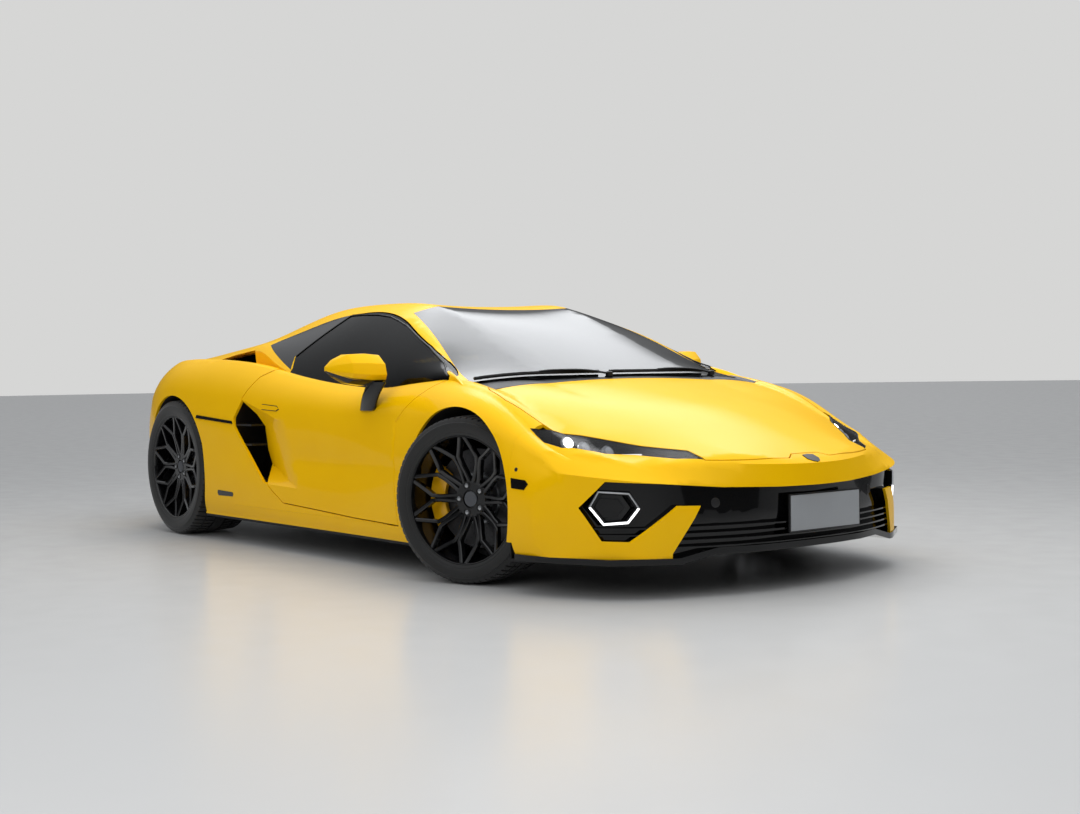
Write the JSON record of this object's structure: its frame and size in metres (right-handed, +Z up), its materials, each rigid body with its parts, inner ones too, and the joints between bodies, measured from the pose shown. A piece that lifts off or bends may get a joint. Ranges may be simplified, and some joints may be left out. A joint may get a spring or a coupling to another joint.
{
  "type": "mid-engined supercar",
  "caption": "Low two-seat mid-engined supercar with opening doors, hood and engine cover, steered front wheels and free-turning wheels.",
  "frame": {"origin": "on the ground at the middle of the length, on the centre plane", "axes": "+X forward, +Y to the left, +Z up"},
  "size_m": [4.7062, 2.249, 1.2013],
  "materials": {
    "paint": "gloss",
    "glass": "gloss",
    "tyre_rubber": "matte",
    "wheel_black": "gloss",
    "disc_iron": "satin",
    "caliper_paint": "gloss",
    "aluminium": "satin",
    "carbon_tub": "satin",
    "lamp": "gloss",
    "cabin_trim": "matte",
    "exhaust_steel": "satin",
    "black_trim": "gloss"
  },
  "bodies": {
    "car": {"arch_liners": "black_trim", "caliper_rear_left": "caliper_paint", "caliper_rear_right": "caliper_paint", "cowl": "black_trim", "dashboard": "cabin_trim", "diffuser": "black_trim", "engine_block": "aluminium", "exhaust_tips": "exhaust_steel", "front_bumper": "paint", "front_fenders": "paint", "front_grilles": "black_trim", "front_luggage_tub": "black_trim", "front_subframe": "aluminium", "front_suspension": "aluminium", "headlamps": "lamp", "hinge_brackets": "aluminium", "knuckle_rear_left": "aluminium", "knuckle_rear_right": "aluminium", "quarter_glass": "glass", "rear_bumper": "paint", "rear_deck": "paint", "rear_grille": "black_trim", "rear_quarters": "paint", "rear_subframe": "aluminium", "rear_suspension": "aluminium", "roof": "paint", "seats": "cabin_trim", "side_intakes": "black_trim", "sills": "paint", "splitter": "black_trim", "tail_lamps": "lamp", "tub": "carbon_tub", "undertray": "black_trim", "windscreen": "glass"},
    "door_left": {"door_left": "paint", "door_glass_left": "glass", "mirror_left": "paint"},
    "door_right": {"door_right": "paint", "door_glass_right": "glass", "mirror_right": "paint"},
    "hood": {"hood": "paint"},
    "engine_cover": {"engine_cover": "black_trim"},
    "knuckle_front_left": {"knuckle_front_left": "aluminium", "caliper_front_left": "caliper_paint"},
    "knuckle_front_right": {"knuckle_front_right": "aluminium", "caliper_front_right": "caliper_paint"},
    "wheel_front_left": {"tyre_front_left": "tyre_rubber", "rim_front_left": "wheel_black", "brake_disc_front_left": "disc_iron"},
    "wheel_front_right": {"tyre_front_right": "tyre_rubber", "rim_front_right": "wheel_black", "brake_disc_front_right": "disc_iron"},
    "wheel_rear_left": {"tyre_rear_left": "tyre_rubber", "rim_rear_left": "wheel_black", "brake_disc_rear_left": "disc_iron"},
    "wheel_rear_right": {"tyre_rear_right": "tyre_rubber", "rim_rear_right": "wheel_black", "brake_disc_rear_right": "disc_iron"},
    "steering_wheel": {"steering_wheel": "cabin_trim"}
  },
  "joints": [
    {"name": "steer_right", "type": "hinge", "parent": "car", "child": "knuckle_front_right", "pos_m": [1.267, -0.861, 0.343], "axis": [0, 0, 1], "range_deg": [-50.7, 13.3]},
    {"name": "steer_left", "type": "hinge", "parent": "car", "child": "knuckle_front_left", "pos_m": [1.267, 0.861, 0.343], "axis": [0, 0, 1], "range_deg": [-50.7, 13.3]},
    {"name": "spin_front_right", "type": "hinge", "parent": "knuckle_front_right", "child": "wheel_front_right", "pos_m": [1.267, -0.861, 0.343], "axis": [-0.3206, 0.9472, 0], "continuous": true},
    {"name": "spin_front_left", "type": "hinge", "parent": "knuckle_front_left", "child": "wheel_front_left", "pos_m": [1.267, 0.861, 0.343], "axis": [-0.3206, 0.9472, 0], "continuous": true},
    {"name": "spin_rear_right", "type": "hinge", "parent": "car", "child": "wheel_rear_right", "pos_m": [-1.391, -0.835, 0.364], "axis": [0, 1, 0], "continuous": true},
    {"name": "spin_rear_left", "type": "hinge", "parent": "car", "child": "wheel_rear_left", "pos_m": [-1.391, 0.835, 0.364], "axis": [0, 1, 0], "continuous": true},
    {"name": "steering_wheel_turn", "type": "hinge", "parent": "car", "child": "steering_wheel", "pos_m": [0.43, 0.36, 0.69], "axis": [-0.9272, 0, 0.3746], "range_deg": [-714, 188]},
    {"name": "door_left_hinge", "type": "hinge", "parent": "car", "child": "door_left", "pos_m": [0.72, 0.85, 0.5], "axis": [0, 0, -1], "range_deg": [0, 60]},
    {"name": "door_right_hinge", "type": "hinge", "parent": "car", "child": "door_right", "pos_m": [0.72, -0.85, 0.5], "axis": [0, 0, 1], "range_deg": [0, 60]},
    {"name": "hood_hinge", "type": "hinge", "parent": "car", "child": "hood", "pos_m": [1.12, 0, 0.795], "axis": [0, -1, 0], "range_deg": [0, 45]},
    {"name": "engine_cover_hinge", "type": "hinge", "parent": "car", "child": "engine_cover", "pos_m": [-0.722, 0, 1.092], "axis": [0, 1, 0], "range_deg": [0, 40]}
  ],
  "couplings": [
    {"joint": "steer_left", "follows": "steer_right", "ratio": 1},
    {"joint": "steering_wheel_turn", "follows": "steer_right", "ratio": 14}
  ]
}
